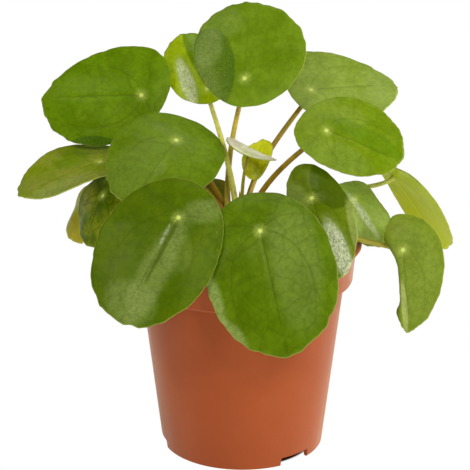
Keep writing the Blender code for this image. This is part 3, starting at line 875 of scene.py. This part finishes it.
def make_soil(finish):
    """Potting mix: its body, with crumbs of all lengths strewn over the top."""
    wall = WALL + GAP
    floor = CHANNEL_HEIGHT + wall
    shelf = BAND_FOOT_Z + wall
    outer = BAND_FOOT_RADIUS - wall - 0.2
    top = spaced([(0, SOIL_TOP), (outer, SOIL_TOP)], 0.9)
    side = [(outer, shelf + 0.4), (body_radius(shelf) - wall - 0.4, shelf),
            (body_radius(floor) - wall, floor), (PAD_RADIUS - 0.6, floor),
            (PAD_RADIUS - 2.3, wall), (0, wall)]
    bm = turned(top + side, SOIL_STEPS)
    for vert in bm.verts:
        if vert.co.z > SOIL_TOP - 0.01:
            vert.co.z = soil_height(vert.co.x, vert.co.y)
    draw = Random(5)
    for _ in range(CRUMBS):
        reach = CRUMB_REACH * math.sqrt(draw.random())
        angle = draw.uniform(0, 2 * math.pi)
        x, y = reach * math.cos(angle), reach * math.sin(angle)
        size = draw.uniform(0.5, 1.5) * (1 if draw.random() < 0.9 else 1.6)
        size = min(size, outer - reach) if reach > CRUMB_REACH - 1 else size
        stretch = (draw.uniform(0.7, 1.6), draw.uniform(0.6, 1.1), draw.uniform(0.5, 0.9))
        turn = Euler([draw.uniform(0, 3.1) for _ in range(3)]).to_matrix().to_4x4()
        place = Matrix.Translation((x, y, soil_height(x, y) + 0.3 * size)) @ turn
        crumb = bmesh.ops.create_icosphere(bm, subdivisions=1, radius=size,
                                           matrix=place @ Matrix.Diagonal((*stretch, 1)))
        for vert in crumb["verts"]:
            vert.co += 0.25 * size * noise.noise_vector(vert.co * 0.9)
    return finished("potting_mix", bm, (finish,), SOIL_CREASE, "soil", ("soil",))


# ---------------------------------------------------------------- pot

def pot_finish():
    """Moulded plastic: faint clouds and specks, and streaks down the wall."""
    finish = Finish("pot plastic", 0.42, 0.16)
    finish.put(Specular_Tint=(1.0, 0.8, 0.45, 1.0), Sheen_Weight=0.28, Sheen_Roughness=0.4,
               Sheen_Tint=(1.0, 0.78, 0.38, 1.0))
    place = finish.place()
    cloud = finish.noise(place, 26.0, 3.0, 0.55)
    colour = finish.mix(finish.step(cloud, 0.3, 0.7), linear(147, 67, 32), linear(154, 73, 37))
    speck = finish.noise(place, 1300.0, 2.0)
    colour = finish.mix(finish.step(speck, 0.62, 0.8, 0.0, 0.25), colour, linear(180, 104, 64))
    streak = finish.noise(finish.stretched(place, (1, 1, 0.08)), 160.0, 3.0)
    finish.put(Base_Color=colour, Roughness=finish.step(streak, 0.25, 0.75, 0.36, 0.48),
               Normal=finish.bump(speck * 0.6 + streak * 0.4, 0.00015, 0.4))
    return finish


def pot_profile():
    """Closed profile of wall and floor, out along the underside and back down the inside."""
    lip = LIP_THICKNESS / 2
    ring_inside = FOOT_RADIUS - FOOT_RING_WIDTH
    floor = CHANNEL_HEIGHT + WALL
    outside = [(0, 0), (PAD_RADIUS - 0.5, 0), *arc((PAD_RADIUS - 0.5, 0.5), 0.5, -90, 0, 3),
               (PAD_RADIUS + 1.3, CHANNEL_HEIGHT - 0.3), (PAD_RADIUS + 1.8, CHANNEL_HEIGHT),
               (ring_inside - 0.4, CHANNEL_HEIGHT), (ring_inside, CHANNEL_HEIGHT - 0.4),
               (ring_inside + 0.4, 0.3), (ring_inside + 0.8, 0), (FOOT_RADIUS - 1.0, 0),
               *arc((FOOT_RADIUS - 1.0, 1.0), 1.0, -80, -5, 5),
               *arc((BODY_TOP_RADIUS - 0.6, BAND_FOOT_Z - 0.6), 0.6, 0, 80, 3),
               *arc((BAND_FOOT_RADIUS - 1.2, BAND_FOOT_Z + 1.2), 1.2, -90, 0, 6),
               (BAND_TOP_RADIUS, POT_HEIGHT - LIP_THICKNESS - 0.5),
               (BAND_TOP_RADIUS + 0.2, POT_HEIGHT - LIP_THICKNESS - 0.1),
               *arc((LIP_RADIUS - lip, POT_HEIGHT - lip), lip, -90, 90, 12)]
    inside = [(BAND_TOP_RADIUS - WALL + 0.8, POT_HEIGHT),
              (BAND_TOP_RADIUS - WALL + 0.15, POT_HEIGHT - 0.35),
              (BAND_TOP_RADIUS - WALL, POT_HEIGHT - 1.0),
              (BAND_FOOT_RADIUS - WALL, BAND_FOOT_Z + WALL + 0.4),
              (body_radius(BAND_FOOT_Z) - WALL, BAND_FOOT_Z + WALL),
              (body_radius(floor) - WALL, floor), (PAD_RADIUS - 0.4, floor),
              (PAD_RADIUS - 1.9, WALL), (0, WALL)]
    return outside + inside


def notch_cutter(angle):
    """Block with rounded long edges, across the foot ring at an angle round the pot."""
    length = 2 * FOOT_RADIUS * math.sin(math.radians(NOTCH_WIDTH / 2))
    block = bmesh.new()
    bmesh.ops.create_cube(block, size=1)
    bmesh.ops.scale(block, vec=(FOOT_RING_WIDTH + 6, length, 2 * NOTCH_HEIGHT), verts=block.verts)
    bmesh.ops.bevel(block, geom=[edge for edge in block.edges
                                 if abs((edge.verts[0].co - edge.verts[1].co).x) > 1],
                    offset=1.0, affect="EDGES", segments=4, profile=0.5, material=-1)
    bmesh.ops.translate(block, vec=(FOOT_RADIUS - FOOT_RING_WIDTH / 2, 0, 0), verts=block.verts)
    bmesh.ops.rotate(block, cent=(0, 0, 0), verts=block.verts,
                     matrix=Matrix.Rotation(math.radians(angle), 3, "Z"))
    return finished("notch", block, ())


def drain_cutter(number):
    """Rod through the channel between the pad and the foot ring."""
    reach = (PAD_RADIUS + FOOT_RADIUS - FOOT_RING_WIDTH) / 2
    angle = 2 * math.pi * (number + 0.5) / DRAIN_HOLES
    place = (reach * math.cos(angle), reach * math.sin(angle), CHANNEL_HEIGHT + WALL)
    rod = bmesh.new()
    bmesh.ops.create_cone(rod, cap_ends=True, segments=DRAIN_STEPS, radius1=DRAIN_RADIUS,
                          radius2=DRAIN_RADIUS, depth=10, matrix=Matrix.Translation(place))
    return finished("drain", rod, ())


def make_pot(finish):
    """Nursery pot: one turned wall, with notches in its foot ring and holes in its floor."""
    pot = finished("nursery_pot", turned(pot_profile(), POT_STEPS), (finish,), POT_CREASE,
                   "pot", ("pot",))
    cutters = [notch_cutter(angle) for angle in NOTCH_ANGLES]
    cutters += [drain_cutter(number) for number in range(DRAIN_HOLES)]
    for cutter in cutters:
        cut = pot.modifiers.new("cut", "BOOLEAN")
        cut.operation = "DIFFERENCE"
        cut.solver = "EXACT"
        cut.object = cutter
    depsgraph = bpy.context.evaluated_depsgraph_get()
    pot.data = bpy.data.meshes.new_from_object(pot.evaluated_get(depsgraph))
    pot.modifiers.clear()
    for cutter in cutters:
        bpy.data.objects.remove(cutter)
    pot.data.set_sharp_from_angle(angle=math.radians(POT_CREASE))
    return pot


# ---------------------------------------------------------------- studio

def make_floor():
    """Floor that looks pure white, throws softer light, and has painted shade under the pot."""
    bm = bmesh.new()
    bmesh.ops.create_grid(bm, x_segments=1, y_segments=1, size=FLOOR_REACH)
    finish = Finish("studio floor", 0.9, 0.1)
    black, white = (0.0, 0.0, 0.0, 1.0), (1.0, 1.0, 1.0, 1.0)
    off = finish.node("VectorMath", {"operation": "LENGTH"}, {0: finish.place()}, 1)
    glow = finish.mix(finish.step(off, *GLOW_RADII), (0.5, 0.5, 0.5, 1.0), white)
    glow = finish.mix(finish.step(off, *SHADE_RADII), black, glow)
    finish.put(Base_Color=(0.9, 0.9, 0.9, 1.0), Emission_Color=glow, Emission_Strength=1.0)
    # painted shade: a dark disc under the pot, which shows through its notches
    seen = finish.mix(finish.step(off, *SEEN_RADII), (0.02, 0.006, 0.002, 1.0), white)
    seen = finish.node("Emission", None, {"Color": seen})
    both = finish.node("MixShader", None, {0: finish.node("LightPath"),
                                           1: Wire(finish, finish.shader.outputs[0]), 2: seen})
    finish.feed(finish.tree.nodes["Material Output"].inputs["Surface"], both)
    floor = finished("studio_floor", bm, (finish,))


def make_light(name, place, target, sides, watts):
    """White rectangular light, turned towards a target."""
    lamp = bpy.data.lights.new(name, "AREA")
    lamp.shape = "RECTANGLE"
    lamp.size, lamp.size_y = (side * MM for side in sides)
    lamp.energy = watts
    made = bpy.data.objects.new(name, lamp)
    made.location = Vector(place) * MM
    aim = (Vector(target) - Vector(place)).to_track_quat("-Z", "Y")
    made.rotation_euler = aim.to_euler()
    bpy.context.scene.collection.objects.link(made)


def make_world(strength):
    """White backdrop whose light on the plant is softer than the backdrop looks."""
    world = bpy.data.worlds.new("studio")
    world.use_nodes = True
    tree = world.node_tree
    backdrop = tree.nodes["Background"]
    backdrop.inputs["Color"].default_value = (1, 1, 1, 1)
    fill = tree.nodes.new("ShaderNodeBackground")
    fill.inputs["Color"].default_value = (1, 1, 1, 1)
    fill.inputs["Strength"].default_value = strength
    seen = tree.nodes.new("ShaderNodeLightPath")
    both = tree.nodes.new("ShaderNodeMixShader")
    tree.links.new(seen.outputs["Is Camera Ray"], both.inputs[0])
    tree.links.new(fill.outputs[0], both.inputs[1])
    tree.links.new(backdrop.outputs[0], both.inputs[2])
    tree.links.new(both.outputs[0], tree.nodes["World Output"].inputs["Surface"])
    bpy.context.scene.world = world


def make_camera():
    """Long lens in front of the plant, looking a little down."""
    lens = bpy.data.cameras.new("camera")
    lens.lens = LENS
    lens.sensor_width = SENSOR_WIDTH
    lens.clip_start = 0.05
    made = bpy.data.objects.new("camera", lens)
    target = Vector(CAMERA_TARGET)
    down = math.radians(CAMERA_TILT)
    place = target + CAMERA_DISTANCE * Vector((0, -math.cos(down), math.sin(down)))
    made.location = place * MM
    made.rotation_euler = (target - place).to_track_quat("-Z", "Y").to_euler()
    bpy.context.scene.collection.objects.link(made)
    bpy.context.scene.camera = made


RIM = rim_finish()
for money_leaf in LEAVES:
    make_blade(money_leaf, RIM)
    make_stalk(money_leaf)
make_trunk(trunk_finish())
make_bracts(bract_finish())
make_soil(soil_finish())
make_pot(pot_finish())

make_floor()
for light in LIGHTS:
    make_light(*light)
make_world(WORLD_LIGHT)
make_camera()
bpy.context.scene.view_settings.view_transform = "Standard"
